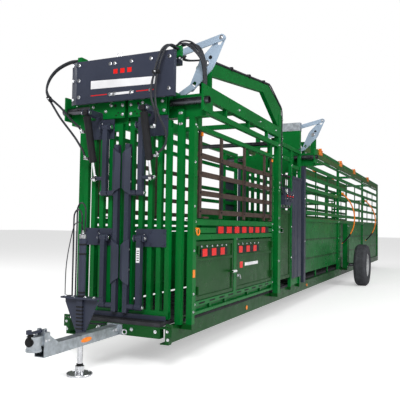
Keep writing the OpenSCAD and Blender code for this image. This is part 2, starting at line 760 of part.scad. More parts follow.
module rim(sign) color("lightgray") {
    half = tyre_w / 2 - 22;
    wheel_turned(sign, [[24 + fit, -60], [46, -60], [46, 0], [120, 12], [185, 20], [188, -half],
        [214, -half], [214, 8 - half], [203, 8 - half], [200, -20], [200, 20], [203, half - 8],
        [214, half - 8], [214, half], [190, half], [185, 28], [120, 20], [60, 8], [46, 8],
        [46, 50], [0, 50], [0, 30], [24 + fit, 30]]);
    placed() side_of(sign)
        for (a = [0 : 60 : 300]) translate([wheel_x + 14, wheel_y, tyre_r]) rotate([a, 0, 0])
            translate([0, 75, 0]) rotate([0, 90, 0]) cylinder(r = 11, h = 22, $fn = 6);
}
module rim_left() rim(-1);
module rim_right() rim(1);

module tyre(sign) color("#303134") {
    half = tyre_w / 2;
    wheel_turned(sign, [[204, 31 - half], [215, 31 - half], [217, 20 - half], [240, 8 - half],
        [300, -half], [350, 8 - half], [378, 28 - half], [tyre_r, 62 - half],
        [tyre_r, half - 62], [378, half - 28], [350, half - 8], [300, half], [240, half - 8],
        [217, half - 20], [215, half - 31], [204, half - 31], [224, half - 50],
        [360, half - 40], [368, 0], [360, 40 - half], [224, 50 - half]]);
}
module tyre_left() tyre(-1);
module tyre_right() tyre(1);

// Tongue, coupler and jack -------------------------------------------------------------

module tongue_beam() color("#8d9496") placed() {
    tube([-40, 40], [-860, 0], [base_z + 40, base_z + 115]);
    box([-70, 70], [-10, 0], [base_z + 42, base_z + 123]);
    for (x = [-40, 34])
        upright_yz(x, 6) polygon([[-860, base_z + 115], [-860, base_z + 195], [-840, base_z + 195],
            [-720, base_z + 115]]);
}

module coupler() color("#a9adb0") placed() {
    z = base_z + 100;
    difference() {
        union() {
            box([-34, 34], [-860, -800], [z + 15, z + 95]);
            box([-30, 30], [coupler_y, -858], [z + 20, z + 80]);
            translate([0, coupler_y, z]) cylinder(r = 46, h = 84);
            translate([0, coupler_y, z - 12]) cylinder(r = 50, h = 14);
        }
        translate([0, coupler_y, z + 30]) sphere(ball_r + 0.5);
        translate([0, coupler_y, z - 13]) cylinder(r = ball_r + 0.5, h = 43);
        box([-15, 15], [-960, -840], [z + 70, z + 96]);
    }
    for (x = [-30, 15]) difference() {
        box([x, x + 15], [latch_y - 14, latch_y + 14], [z + 90, latch_z + 14]);
        rod_x([x - 1, x + 16], latch_y, latch_z, 6 + fit);
    }
}

module coupler_latch() color("#5a5f63") placed() {
    rod_x([-14, 14], latch_y, latch_z, 10);
    rod_x([-34, 34], latch_y, latch_z, 6);
    box([-10, 10], [-950, latch_y], [latch_z - 7, latch_z + 7]);
    box([-10, 10], [-975, -945], [latch_z - 4, latch_z + 22]);
}

module jack_tube() color("#1e2126") placed() {
    plate_z = base_z + 352;
    difference() {
        union() {
            box([jack_x - 25, jack_x + 25], [jack_y - 25, jack_y + 25], [base_z + 45, plate_z + 2]);
            translate([jack_x, jack_y, plate_z + 1]) cylinder(r = 27, h = 989 - plate_z);
            translate([jack_x, jack_y, 989]) cylinder(r = 22, h = 36);
            box([jack_x - 151, jack_x + 154], [jack_y - 50, jack_y + 45], [plate_z, plate_z + 12]);
            for (s = [-1, 1])
                upright(jack_y - 6, 12) polygon([[jack_x + s * 22, plate_z + 2],
                    [jack_x + s * 22, base_z + 115], [jack_x + s * 44, base_z + 115],
                    [jack_x + s * 140, plate_z - 30], [jack_x + s * 140, plate_z + 2]]);
        }
        translate([jack_x, jack_y, base_z + 44]) cylinder(r = 20 + fit, h = 700);
    }
}

module jack_leg() color("lightgray") placed() translate([jack_x, jack_y, 0]) {
    translate([0, 0, 12]) cylinder(r = 20, h = 560);
    cylinder(r = 92, h = 13);
    translate([0, 0, 12]) cylinder(r = 33, h = 55);
}

// Free hoses ----------------------------------------------------------------------------

// Directions along a route, each taken between a point's neighbours.
function tangents(p) = [for (i = [0 : len(p) - 1])
    let (d = p[min(i + 1, len(p) - 1)] - p[max(i - 1, 0)]) d / norm(d)];

// Points of one ring, square to the route's direction there; across is a direction that
// the route never takes.
function ring(c, t, r, across) =
    let (side = cross(t, across), u = side / norm(side), v = cross(t, u))
    [for (k = [0 : ring_sides - 1]) c + r * (cos(k * 360 / ring_sides) * u + sin(k * 360 / ring_sides) * v)];

module hose(p, r, across) {
    t = tangents(p);
    n = len(p);
    m = ring_sides;
    points = [for (i = [0 : n - 1]) each ring(p[i], t[i], r, across)];
    walls = [for (i = [0 : n - 2], k = [0 : m - 1])
        [i * m + k, i * m + (k + 1) % m, (i + 1) * m + (k + 1) % m, (i + 1) * m + k]];
    polyhedron(points, concat(walls, [[for (k = [m - 1 : -1 : 0]) k]],
        [[for (k = [0 : m - 1]) (n - 1) * m + k]]));
}

module hose_left() color("#141416") placed() hose(LEFT_ROUTE, hose_r, [0, 1, 0.02]);
module hose_right() color("#141416") placed() hose(RIGHT_ROUTE, hose_r, [1, 0, 0]);

base_frame();
floor_deck();
posts();
head_header();
slide_tubes();
sign_panel();
frame_bolts();
squeeze_rails();
hose_boom();
boom_hoses();
valve_bank();
valve_lever_1();
valve_lever_2();
valve_lever_3();
palpation_frame();
palpation_door();
tail_header();
power_box();
tail_leaf_left();
tail_leaf_right();
rocker_rear();
alley_sides();
alley_arches();
alley_cleats();
stop_gate_1();
stop_gate_2();
stop_handle_1();
stop_handle_2();
axle_brackets();
stub_axles();
rim_left();
rim_right();
tyre_left();
tyre_right();
tongue_beam();
coupler();
coupler_latch();
jack_tube();
jack_leg();
head_leaf_left();
head_leaf_right();
rocker_front();
neck_upper_link_left();
neck_upper_link_right();
neck_lower_link_left();
neck_lower_link_right();
neck_bar_left();
neck_bar_right();
neck_barrel_left();
neck_barrel_right();
neck_rod_left();
neck_rod_right();
squeeze_side_left();
squeeze_side_right();
side_slats_left();
side_slats_right();
door_front();
door_rear();
hose_left();
hose_right();
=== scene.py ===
import math
import random

import bmesh
import bpy
from mathutils import Matrix, Vector


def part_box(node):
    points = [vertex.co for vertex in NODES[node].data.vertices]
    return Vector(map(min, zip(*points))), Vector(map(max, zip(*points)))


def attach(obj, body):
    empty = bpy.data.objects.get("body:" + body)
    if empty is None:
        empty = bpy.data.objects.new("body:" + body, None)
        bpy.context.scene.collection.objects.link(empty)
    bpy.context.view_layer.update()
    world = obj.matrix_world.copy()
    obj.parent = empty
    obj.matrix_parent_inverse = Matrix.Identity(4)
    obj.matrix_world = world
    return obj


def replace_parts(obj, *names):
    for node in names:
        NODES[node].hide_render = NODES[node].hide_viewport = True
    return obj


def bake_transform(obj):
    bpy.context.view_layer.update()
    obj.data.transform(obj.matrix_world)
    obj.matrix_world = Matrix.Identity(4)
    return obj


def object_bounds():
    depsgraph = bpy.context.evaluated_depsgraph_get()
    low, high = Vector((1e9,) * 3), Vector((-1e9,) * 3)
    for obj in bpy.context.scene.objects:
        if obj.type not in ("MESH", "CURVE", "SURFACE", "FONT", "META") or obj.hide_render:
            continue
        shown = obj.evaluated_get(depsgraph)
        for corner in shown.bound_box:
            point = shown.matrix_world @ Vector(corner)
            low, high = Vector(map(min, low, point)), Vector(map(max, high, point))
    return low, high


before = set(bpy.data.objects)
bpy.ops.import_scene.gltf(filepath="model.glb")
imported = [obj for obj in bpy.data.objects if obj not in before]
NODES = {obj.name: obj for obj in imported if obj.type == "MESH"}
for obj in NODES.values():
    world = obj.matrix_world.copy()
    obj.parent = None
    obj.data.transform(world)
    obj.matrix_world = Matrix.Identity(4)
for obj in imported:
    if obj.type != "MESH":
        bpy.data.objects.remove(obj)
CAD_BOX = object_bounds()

# y of the base frame's front face in the part's frame, in metres. Every place below is
# given in millimetres from that face, from the machine's middle and from the ground.
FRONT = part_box("base_frame")[0].y


def at(x, y, z):
    return Vector((x / 1000, y / 1000 + FRONT, z / 1000))


# Camera ---------------------------------------------------------------------------

def make_camera():
    data = bpy.data.cameras.new("camera")
    data.sensor_width = 36
    data.lens = 49.0
    data.clip_end = 200
    cam = bpy.data.objects.new("camera", data)
    bpy.context.scene.collection.objects.link(cam)
    yaw, pitch, roll = 0.437, 0.047, -0.015
    turn = (Matrix.Rotation(yaw, 3, "Z") @ Matrix.Rotation(pitch, 3, "X")
            @ Matrix.Rotation(roll, 3, "Y"))
    right, forward, up = turn.col
    axes = Matrix((right, up, -forward)).transposed()
    cam.matrix_world = Matrix.Translation(at(2410, -3625, 1097)) @ axes.to_4x4()
    bpy.context.scene.camera = cam


make_camera()

# Materials ------------------------------------------------------------------------


class Shade:
    """Builds one procedural material from the object's own coordinates."""

    def __init__(self, name, metallic=0.0, coat=0.0, ior=1.5):
        self.mat = bpy.data.materials.new(name)
        self.mat.use_nodes = True
        self.tree = self.mat.node_tree
        self.bsdf = self.tree.nodes["Principled BSDF"]
        self.bsdf.inputs["Metallic"].default_value = metallic
        self.bsdf.inputs["Coat Weight"].default_value = coat
        self.bsdf.inputs["Coat Roughness"].default_value = 0.12
        self.bsdf.inputs["IOR"].default_value = ior
        self.bsdf.inputs["Specular IOR Level"].default_value = 0.16
        self.coords = self.node("ShaderNodeTexCoord").outputs["Object"]

    def node(self, kind, **settings):
        made = self.tree.nodes.new(kind)
        for key, value in settings.items():
            setattr(made, key, value)
        return made

    def link(self, a, b):
        self.tree.links.new(a, b)

    def noise(self, scale, detail=3.0, stretch=(1, 1, 1), rough=0.55):
        place = self.node("ShaderNodeMapping")
        place.inputs["Scale"].default_value = stretch
        self.link(self.coords, place.inputs["Vector"])
        made = self.node("ShaderNodeTexNoise")
        made.inputs["Scale"].default_value = scale
        made.inputs["Detail"].default_value = detail
        made.inputs["Roughness"].default_value = rough
        self.link(place.outputs["Vector"], made.inputs["Vector"])
        return made.outputs["Fac"]

    def ramp(self, fac, stops):
        made = self.node("ShaderNodeValToRGB")
        elements = made.color_ramp.elements
        while len(elements) < len(stops):
            elements.new(0.5)
        for e, (where, colour) in zip(elements, stops):
            e.position = where
            e.color = (*colour, 1)
        self.link(fac, made.inputs["Fac"])
        return made.outputs["Color"]

    def spread(self, fac, low, high):
        made = self.node("ShaderNodeMapRange")
        made.inputs["From Min"].default_value = 0.3
        made.inputs["From Max"].default_value = 0.7
        made.inputs["To Min"].default_value = low
        made.inputs["To Max"].default_value = high
        self.link(fac, made.inputs["Value"])
        return made.outputs["Result"]

    def axis(self, letter):
        apart = self.node("ShaderNodeSeparateXYZ")
        self.link(self.coords, apart.inputs["Vector"])
        return apart.outputs[letter]

    def math(self, operation, a, b=None):
        made = self.node("ShaderNodeMath", operation=operation)
        for socket, value in zip(made.inputs, (a, b)):
            if value is None:
                continue
            if isinstance(value, (int, float)):
                socket.default_value = value
            else:
                self.link(value, socket)
        return made.outputs[0]

    def mix(self, fac, a, b):
        made = self.node("ShaderNodeMix", data_type="RGBA")
        self.link(fac, made.inputs["Factor"])
        for socket, value in ((made.inputs[6], a), (made.inputs[7], b)):
            if isinstance(value, tuple):
                socket.default_value = (*value, 1)
            else:
                self.link(value, socket)
        return made.outputs[2]

    def colour(self, value):
        self.link(value, self.bsdf.inputs["Base Color"])
        return self

    def rough(self, value):
        self.link(value, self.bsdf.inputs["Roughness"])
        return self

    def bump(self, height, strength, distance=0.001):
        made = self.node("ShaderNodeBump")
        made.inputs["Strength"].default_value = strength
        made.inputs["Distance"].default_value = distance
        self.link(height, made.inputs["Height"])
        self.link(made.outputs["Normal"], self.bsdf.inputs["Normal"])
        return self


def shades(base, spreads):
    """Three tones of one colour, for a ramp."""
    return [(w, tuple(min(1, c * k) for c in base)) for w, k in spreads]


TONES = [(0.25, 0.82), (0.5, 1.0), (0.75, 1.18)]
GREEN = (0.0, 0.128, 0.020)
# The next colour is the green paint darkened to about half: painted shade, a shaded copy of GREEN
# for the base frame, sills and alley ribs.
GREEN_SHADED = (0.002, 0.060, 0.008)
SLATE = (0.036, 0.042, 0.066)
PALE = (0.34, 0.43, 0.54)
ORANGE = (0.86, 0.22, 0.012)
RED = (0.72, 0.012, 0.010)


def painted(name, base, slate=None, coat=0.08, rough=(0.24, 0.42)):
    """Gloss enamel on welded steel. slate makes a mask for pieces in the dark paint."""
    s = Shade(name, metallic=0.0, coat=coat)
    body = s.ramp(s.noise(2.6, 4), shades(base, TONES))
    dust = s.ramp(s.noise(38, 5), [(0.52, (0, 0, 0)), (0.78, (0.10, 0.10, 0.10))])
    pale = tuple(0.8 * c + 0.03 for c in base)
    body = s.mix(dust, body, pale)
    if slate:
        dark = s.ramp(s.noise(3.5, 4), shades(SLATE, TONES))
        body = s.mix(slate(s), body, dark)
    s.colour(body)
    s.rough(s.spread(s.noise(9, 4), *rough))
    s.bump(s.noise(420, 2), 0.10, 0.0006)
    return s.mat


def before_leaf(s):
    """Brackets on the face of a gate leaf are dark."""
    return s.math("LESS_THAN", s.axis("Y"), FRONT + 0.1046)


def painted_leaf(name):
    """A gate leaf: green bars, dark front brackets and the pale arm behind the header."""
    s = Shade(name, coat=0.08)
    green = s.ramp(s.noise(2.6, 4), shades(GREEN, TONES))
    dark = s.ramp(s.noise(3.5, 4), shades(SLATE, TONES))
    pale = s.ramp(s.noise(3.0, 4), shades(PALE, TONES))
    arm_front = 0.3435 if "head" in name else 4.0435
    arm = s.math("GREATER_THAN", s.axis("Y"), FRONT + arm_front)
    body = s.mix(before_leaf(s), green, dark) if "head" in name else green
    body = s.mix(arm, body, pale)
    dust = s.ramp(s.noise(38, 5), [(0.52, (0, 0, 0)), (0.78, (0.10, 0.10, 0.10))])
    s.colour(s.mix(dust, body, (0.04, 0.12, 0.05)))
    s.rough(s.spread(s.noise(9, 4), 0.24, 0.42))
    s.bump(s.noise(420, 2), 0.10, 0.0006)
    return s.mat


def guides_and_rear(s):
    """The guide bars at the floor and the posts of the tail gate are dark."""
    front = s.math("LESS_THAN", s.axis("Y"), FRONT + 0.17)
    low = s.math("LESS_THAN", s.axis("Z"), 0.41)
    rear = s.math("GREATER_THAN", s.axis("Y"), FRONT + 3.9)
    return s.math("MAXIMUM", s.math("MULTIPLY", front, low), rear)


def metal(name, base, rough, scale=60, stretch=(1, 1, 1), bump=0.08, mottled=0.0):
    s = Shade(name, metallic=1.0)
    spread = [(0.25, 1 - 0.16 - mottled), (0.5, 1.0), (0.75, 1.12 + mottled)]
    s.colour(s.ramp(s.noise(scale, 5, stretch), shades(base, spread)))
    s.rough(s.spread(s.noise(scale * 0.6, 4), *rough))
    s.bump(s.noise(scale * 5, 3, stretch), bump, 0.0005)
    return s.mat


def rubber(name, base, rough, grain=500, strength=0.25):
    s = Shade(name)
    s.colour(s.ramp(s.noise(14, 5), shades(base, [(0.25, 0.75), (0.5, 1.0), (0.75, 1.35)])))
    s.rough(s.spread(s.noise(22, 4), *rough))
    s.bump(s.noise(grain, 3), strength, 0.0008)
    return s.mat


MAT = {
    "green": painted("green_paint", GREEN),
    # Shaded copy of the green paint: painted shade.
    "green_shaded": painted("green_paint_shaded", GREEN_SHADED),
    "head_leaf": painted_leaf("head_leaf_paint"),
    "tail_leaf": painted_leaf("tail_leaf_paint"),
    "posts": painted("post_paint", GREEN, guides_and_rear),
    "slate": painted("dark_paint", SLATE, coat=0.15, rough=(0.34, 0.5)),
    "pale": painted("link_paint", PALE, coat=0.3),
    "orange": painted("orange_paint", ORANGE, coat=0.4),
    "red": painted("red_paint", RED, coat=0.4),
    # Black plastic of plugs and collars. The same material also makes the black discs and strips
    # that paint shade into holes and slots.
    "cap": rubber("black_plastic_and_hole_shade", (0.010, 0.010, 0.011), (0.4, 0.6), 200, 0.15),
    "rim_nut": metal("rim_nut", (0.55, 0.56, 0.58), (0.25, 0.4)),
    "white": painted("white_paint", (0.80, 0.80, 0.82), coat=0.3),
    "black": rubber("black_plastic", (0.016, 0.016, 0.018), (0.32, 0.5), 300, 0.12),
    "brown": rubber("slat_rubber", (0.062, 0.042, 0.034), (0.5, 0.7)),
    "door": painted("door_paint", (0.006, 0.060, 0.010)),
    "hose": rubber("hose_rubber", (0.030, 0.032, 0.038), (0.34, 0.5), 700, 0.2),
    "tyre": rubber("tyre_rubber", (0.060, 0.062, 0.070), (0.62, 0.82), 260, 0.4),
    "floor": rubber("floor_rubber", (0.035, 0.035, 0.040), (0.6, 0.8), 180, 0.6),
    "galvanised": metal("galvanised", (0.50, 0.54, 0.58), (0.38, 0.6), 26, mottled=0.12),
    "zinc": metal("zinc", (0.78, 0.79, 0.82), (0.22, 0.36)),
    "chrome": metal("rod_chrome", (0.82, 0.82, 0.84), (0.08, 0.16), 40),
    "dark_steel": metal("slide_steel", (0.13, 0.13, 0.15), (0.24, 0.4), 50),
    "rim": painted("rim_paint", (0.50, 0.51, 0.52), coat=0.2),
    "olive": painted("olive_paint", (0.040, 0.105, 0.020)),
}

NODE_MATERIALS = {
    "green": ["head_header", "hose_boom", "palpation_frame", "tail_header",
              "squeeze_rails", "stop_gate_1", "stop_gate_2", "axle_brackets",
              "squeeze_side_left", "squeeze_side_right", "alley_sides", "alley_arches"],
    # The base frame takes the shaded copy of the green paint: painted shade.
    "green_shaded": ["base_frame"],
    "head_leaf": ["head_leaf_left", "head_leaf_right"],
    "tail_leaf": ["tail_leaf_left", "tail_leaf_right"],
    "posts": ["posts"],
    "slate": ["sign_panel", "valve_bank", "jack_tube", "neck_upper_link_left",
              "neck_upper_link_right", "neck_lower_link_left", "neck_lower_link_right",
              "neck_bar_left", "neck_bar_right", "coupler_latch"],
    "pale": ["rocker_front", "rocker_rear"],
    "door": ["door_front", "door_rear", "palpation_door"],
    "orange": ["alley_cleats", "stop_handle_1", "stop_handle_2"],
    "brown": ["side_slats_left", "side_slats_right"],
    "hose": ["boom_hoses", "hose_left", "hose_right"],
    "tyre": ["tyre_left", "tyre_right"],
    "rim": ["rim_left", "rim_right"],
    "floor": ["floor_deck"],
    "galvanised": ["tongue_beam", "power_box", "coupler"],
    "zinc": ["frame_bolts", "jack_leg"],
    "chrome": ["neck_rod_left", "neck_rod_right"],
    "dark_steel": ["slide_tubes", "stub_axles"],
    "black": ["valve_lever_1", "valve_lever_2", "valve_lever_3", "neck_barrel_left",
              "neck_barrel_right"],
}
for key, names in NODE_MATERIALS.items():
    for name in names:
        mesh = NODES[name].data
        mesh.materials.clear()
        mesh.materials.append(MAT[key])

# Pieces ---------------------------------------------------------------------------


class Piece:
    """Collects shapes of one material into one mesh that rides on one body.

    Sizes and places are in millimetres, and at() moves them into the part's frame."""

    def __init__(self, name, material, body, bevel=1.2):
        self.name, self.material, self.body, self.bevel = name, material, body, bevel
        self.bm = bmesh.new()

    def box(self, x, y, z, turn=None):
        low, high = at(x[0], y[0], z[0]), at(x[1], y[1], z[1])
        size, middle = high - low, (low + high) / 2
        spin = turn or Matrix.Identity(3)
        place = Matrix.Translation(middle) @ spin.to_4x4() @ Matrix.Diagonal((*size, 1))
        bmesh.ops.create_cube(self.bm, size=1, matrix=place)

    def rod(self, a, b, radius, sides=20, tip=None):
        """A round bar, or a taper to the radius tip, between two places."""
        start, end = at(*a), at(*b)
        along = end - start
        place = (Matrix.Translation((start + end) / 2)
                 @ along.to_track_quat("Z", "Y").to_matrix().to_4x4())
        bmesh.ops.create_cone(self.bm, cap_ends=True, segments=sides, radius1=radius / 1000,
                              radius2=(radius if tip is None else tip) / 1000,
                              depth=along.length, matrix=place)

    def bolt(self, place, facing, radius=9):
        """Washer, hexagon head and thread end, standing out along facing."""
        out = Vector(facing)
        foot = Vector(place)
        self.rod(foot, foot + out * 2.5, radius * 1.6)
        self.rod(foot + out * 2, foot + out * (radius * 0.9), radius * 1.1, 6)
        self.rod(foot + out * 3, foot + out * (radius * 1.3), radius * 0.5, 12)

    def prism(self, corners, depth):
        """A flat outline of corners, pushed along the vector depth."""
        bm = self.bm
        face = bm.faces.new([bm.verts.new(at(*c)) for c in corners])
        pushed = bmesh.ops.extrude_face_region(bm, geom=[face])
        moved = [g for g in pushed["geom"] if isinstance(g, bmesh.types.BMVert)]
        bmesh.ops.translate(bm, vec=Vector(depth) / 1000, verts=moved)
        bmesh.ops.recalc_face_normals(bm, faces=bm.faces)

    def ring(self, centre, axis, radius, thick, sides=32, tube_sides=10):
        """A round ring of round bar about axis."""
        spin = Vector(axis).to_track_quat("Z", "Y").to_matrix()
        middle = at(*centre)
        loops = []
        for i in range(sides):
            a = 2 * math.pi * i / sides
            loop = []
            for k in range(tube_sides):
                b = 2 * math.pi * k / tube_sides
                reach = radius + thick * math.cos(b)
                local = Vector((reach * math.cos(a), reach * math.sin(a), thick * math.sin(b)))
                loop.append(self.bm.verts.new(middle + spin @ local / 1000))
            loops.append(loop)
        self.skin(loops, closed=True)

    def skin(self, loops, closed=False):
        count, sides = len(loops), len(loops[0])
        for i in range(count if closed else count - 1):
            a, b = loops[i], loops[(i + 1) % count]
            for k in range(sides):
                self.bm.faces.new((a[k], a[(k + 1) % sides], b[(k + 1) % sides], b[k]))
        if not closed:
            self.bm.faces.new(loops[0][::-1])
            self.bm.faces.new(loops[-1])

    def tube(self, path, radius, sides=14):
        """A round tube along a dense path of places in the part's frame, in metres."""
        loops = []
        across = None
        for i, p in enumerate(path):
            along = (path[min(i + 1, len(path) - 1)] - path[max(i - 1, 0)]).normalized()
            if across is None:
                across = along.orthogonal().normalized()
            across = (across - along * across.dot(along)).normalized()
            other = along.cross(across)
            loops.append([self.bm.verts.new(
                p + radius / 1000 * (across * math.cos(t) + other * math.sin(t)))
                for t in (2 * math.pi * k / sides for k in range(sides))])
        self.skin(loops)

    def done(self):
        bmesh.ops.recalc_face_normals(self.bm, faces=self.bm.faces)
        mesh = bpy.data.meshes.new(self.name)
        self.bm.to_mesh(mesh)
        self.bm.free()
        mesh.materials.append(MAT[self.material])
        mesh.shade_smooth()
        mesh.set_sharp_from_angle(angle=math.radians(38))
        obj = bpy.data.objects.new(self.name, mesh)
        bpy.context.scene.collection.objects.link(obj)
        if self.bevel:
            cut = obj.modifiers.new("edges", "BEVEL")
            cut.width = self.bevel / 1000
            cut.segments = 2
            cut.limit_method = "ANGLE"
            cut.angle_limit = math.radians(50)
        if self.body:
            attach(obj, self.body)
        return obj


def curve_through(points, step=12):
    """A smooth line through places in millimetres, as close places in metres."""
    p = [Vector(q) for q in points]
    p = [2 * p[0] - p[1]] + p + [2 * p[-1] - p[-2]]
    line = []
    for a, b, c, d in zip(p, p[1:], p[2:], p[3:]):
        parts = max(2, int((c - b).length / step))
        for i in range(parts):
            t = i / parts
            line.append(0.5 * ((2 * b) + (c - a) * t + (2 * a - 5 * b + 4 * c - d) * t * t
                               + (3 * b - a - 3 * c + d) * t ** 3))
    line.append(p[-2])
    return [at(*q) for q in line]


RIGHT, FRONTWARD, UP = (1, 0, 0), (0, -1, 0), (0, 0, 1)

# Hoses ----------------------------------------------------------------------------

HOSE_R = 9


def hose_piece(name, points, bodies, radius=HOSE_R):
    """One free hose between two bodies."""
    path = curve_through(points)
    piece = Piece(name, "hose", None, bevel=0)
    piece.tube(path, radius)
    obj = piece.done()
    if len(bodies) == 1:
        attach(obj, bodies[0])
    else:
        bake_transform(obj)
    return obj


# The pair to the left cylinder loops out past the end of the sign.
LEFT_LOOP = [(-450, 70, 2470), (-480, 70, 2470), (-530, 58, 2466), (-590, 36, 2440),
             (-645, 12, 2400), (-690, -8, 2345), (-718, -20, 2285), (-727, -28, 2225),
             (-712, -32, 2180), (-686, -34, 2140)]
LEFT_LOW = [(-686, -34, 2140), (-630, -34, 2062), (-574, -32, 1985), (-520, -26, 1920),
            (-466, -16, 1855), (-420, -6, 1795), (-382, 4, 1735), (-356, 11, 1690),
            (-342, 15, 1650)]
LEFT_HIGH = [(-666, -50, 2148), (-600, -52, 2100), (-545, -52, 2055), (-490, -50, 2000),
             (-440, -48, 1950), (-382, -44, 1902), (-342, -41, 1861)]
# The pair to the right cylinder falls over the sign.
RIGHT_FALL = [(440, 150, 2495), (440, 120, 2495), (438, 80, 2498), (432, 40, 2494),
              (424, 5, 2476), (412, -25, 2440), (400, -42, 2390), (385, -52, 2330),
              (372, -58, 2262)]
RIGHT_LOW = [(372, -58, 2262), (362, -62, 2200), (357, -64, 2130), (357, -64, 2060),
             (364, -62, 2000), (378, -56, 1945), (400, -46, 1890), (425, -30, 1830),
             (430, -10, 1775), (412, 6, 1710), (374, 14, 1672), (342, 16, 1650)]
RIGHT_HIGH = [(350, -66, 2262), (336, -72, 2200), (328, -76, 2130), (332, -76, 2060),
              (352, -72, 1990), (364, -60, 1930), (358, -48, 1888), (342, -42, 1861)]


def blended_to(points, start_by, end):
    """The same run moved by start_by at its start, and ending at another place."""
    off = Vector(end) - Vector(points[-1])
    count = len(points) - 1
    return [tuple(Vector(p) + Vector(start_by).lerp(off, i / count))
            for i, p in enumerate(points)]


def neck_hoses():
    low = hose_piece("hose_left_low", LEFT_LOOP, ("frame", "head_left"))
    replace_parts(low, "hose_left")
    hose_piece("hose_left_high", blended_to(LEFT_LOOP, (0, -20, 4), LEFT_HIGH[0]),
               ("frame", "head_left"))
    hose_piece("hose_left_low_end", LEFT_LOW, ("head_left", "neck_barrel_left"))
    hose_piece("hose_left_high_end", LEFT_HIGH, ("head_left", "neck_barrel_left"))
    low = hose_piece("hose_right_low", RIGHT_FALL, ("frame", "head_right"))
    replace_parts(low, "hose_right")
    hose_piece("hose_right_high", blended_to(RIGHT_FALL, (-22, 0, 0), RIGHT_HIGH[0]),
               ("frame", "head_right"))
    hose_piece("hose_right_low_end", RIGHT_LOW, ("head_right", "neck_barrel_right"))
    hose_piece("hose_right_high_end", RIGHT_HIGH, ("head_right", "neck_barrel_right"))


def port_elbows():
    """Steel elbows that join the hoses to the neck cylinders' ports."""
    for side, sign in (("left", -1), ("right", 1)):
        piece = Piece("elbows_" + side, "zinc", "neck_barrel_" + side, bevel=0.6)
        for y, z in ((15.5, 1633), (-41.4, 1845)):
            piece.rod((sign * 310, y, z), (sign * 326, y, z), 13, 6)
            piece.rod((sign * 322, y, z), (sign * 342, y, z), 9)
            piece.rod((sign * 342, y, z - 10), (sign * 342, y, z + 24), 11.5)
            piece.rod((sign * 342, y, z + 4), (sign * 342, y, z + 16), 14, 6)
        piece.done()


def hose_clamps():
    for name, body, a, b, turn in (
            ("clamp_left", "head_left", (-686, -34, 2140), (-666, -50, 2148), 0.9),
            ("clamp_right", "head_right", (372, -58, 2262), (350, -66, 2262), 0.0)):
        piece = Piece(name, "black", body)
        middle = (Vector(a) + Vector(b)) / 2
        spin = Matrix.Rotation(turn, 3, "Y")
        x, y, z = middle
        piece.box((x - 26, x + 26), (y - 20, y + 20), (z - 12, z + 12), spin)
        piece.done()
        pin = Piece(name + "_bolt", "zinc", body)
        pin.bolt((x, y - 20, z), FRONTWARD, 5)
        pin.done()


BOOM_RISE = [(520, 2496), (1300, 2584), (2060, 2677), (2120, 2681), (2190, 2674),
             (2460, 2579), (2612, 2520), (2640, 2490), (2651, 2440)]
BOOM_START = 520
BOOM_SLOPE = 0.1175
BOOM_CLAMPS = (560, 1020, 1500, 1960)
POST_CLAMPS = (2380, 2150, 1930, 1720)


def boom_hose_run():
    """Four hoses held along the boom, down its post and into the valve bank."""
    rng = random.Random(4)
    piece = Piece("boom_hose_run", "hose", "frame", bevel=0)
    for i in range(4):
        x = 499 + 16 * i
        sway = [rng.uniform(-2, 2) for _ in range(20)]
        points = [(x + w, y, z + abs(w)) for (y, z), w in zip(BOOM_RISE, sway)]
        points += [(x + sway[9 + k], 2651, z) for k, z in enumerate((2300, 2100, 1900, 1700, 1610))]
        points += [(x + 4, 2659, 1545), (x + 8, 2674, 1506), (x + 10, 2686, 1490)]
        piece.tube(curve_through(points, 24), 7.5)
    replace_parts(piece.done(), "boom_hoses")
    clamps = Piece("boom_clamps", "black", "frame")
    for y in BOOM_CLAMPS:
        z = 2496 + (y - BOOM_START) * BOOM_SLOPE
        clamps.box((490, 558), (y - 14, y + 14), (z - 20, z + 16))
    for z in POST_CLAMPS:
        clamps.box((492, 556), (2636, 2664), (z - 14, z + 14))
    clamps.done()
    bolts = Piece("boom_clamp_bolts", "zinc", "frame")
    for y in BOOM_CLAMPS:
        bolts.bolt((524, y, 2512 + (y - BOOM_START) * BOOM_SLOPE), UP, 6)
    for z in POST_CLAMPS:
        bolts.bolt((556, 2650, z), RIGHT, 6)
    bolts.done()


TANGLE_HOSES = 9
TANGLE_FRONT = 6


def header_hose_tangle():
    """Hoses from the valve behind the sign: six go over and down ahead of the rocker, and
    the last three go back to the boom."""
    rng = random.Random(11)
    piece = Piece("header_hoses", "hose", "frame", bevel=0)
    for i in range(TANGLE_HOSES):
        x, z = 366 + 11 * i, 2466 + 11 * (i % 3)
        high = 2512 + rng.uniform(0, 58)
        deep = 232 + 6 * i
        points = [(322 + 10 * i, deep, 2452), (x - 14, 215, z + 26),
                  (x + 30, 190 + 9 * i, high), (x + 96, 196 + 9 * i, high + 6),
                  (x + 158, 218 + 8 * i, high - 30), (598 + 4 * i, 240 + 6 * i, 2410),
                  (612 + 3 * i, 252 + 4 * i, 2300), (616 + 3 * i, 254 + 4 * i, 2200)]
        if i >= TANGLE_FRONT:
            points = [(322 + 10 * i, deep, 2452), (x - 20, 290, 2478), (x - 60, 350, 2476),
                      (x - 40, 420, 2480), (438 + 8 * i, 470, 2486), (460 + 7 * i, 548, 2500)]
        piece.tube(curve_through(points, 14), 7)
    piece.done()
    fittings = Piece("header_fittings", "zinc", "frame", bevel=0.6)
    for i in range(TANGLE_HOSES):
        x, y = 322 + 10 * i, 232 + 6 * i
        fittings.rod((x, y, 2436), (x, y, 2462), 10, 6)
        fittings.rod((x, y, 2458), (x, y, 2474), 8)
    fittings.done()
    block = Piece("header_valve", "slate", "frame")
    block.box((300, 408), (216, 288), (2400, 2438))
    block.done()


# Head gate ------------------------------------------------------------------------

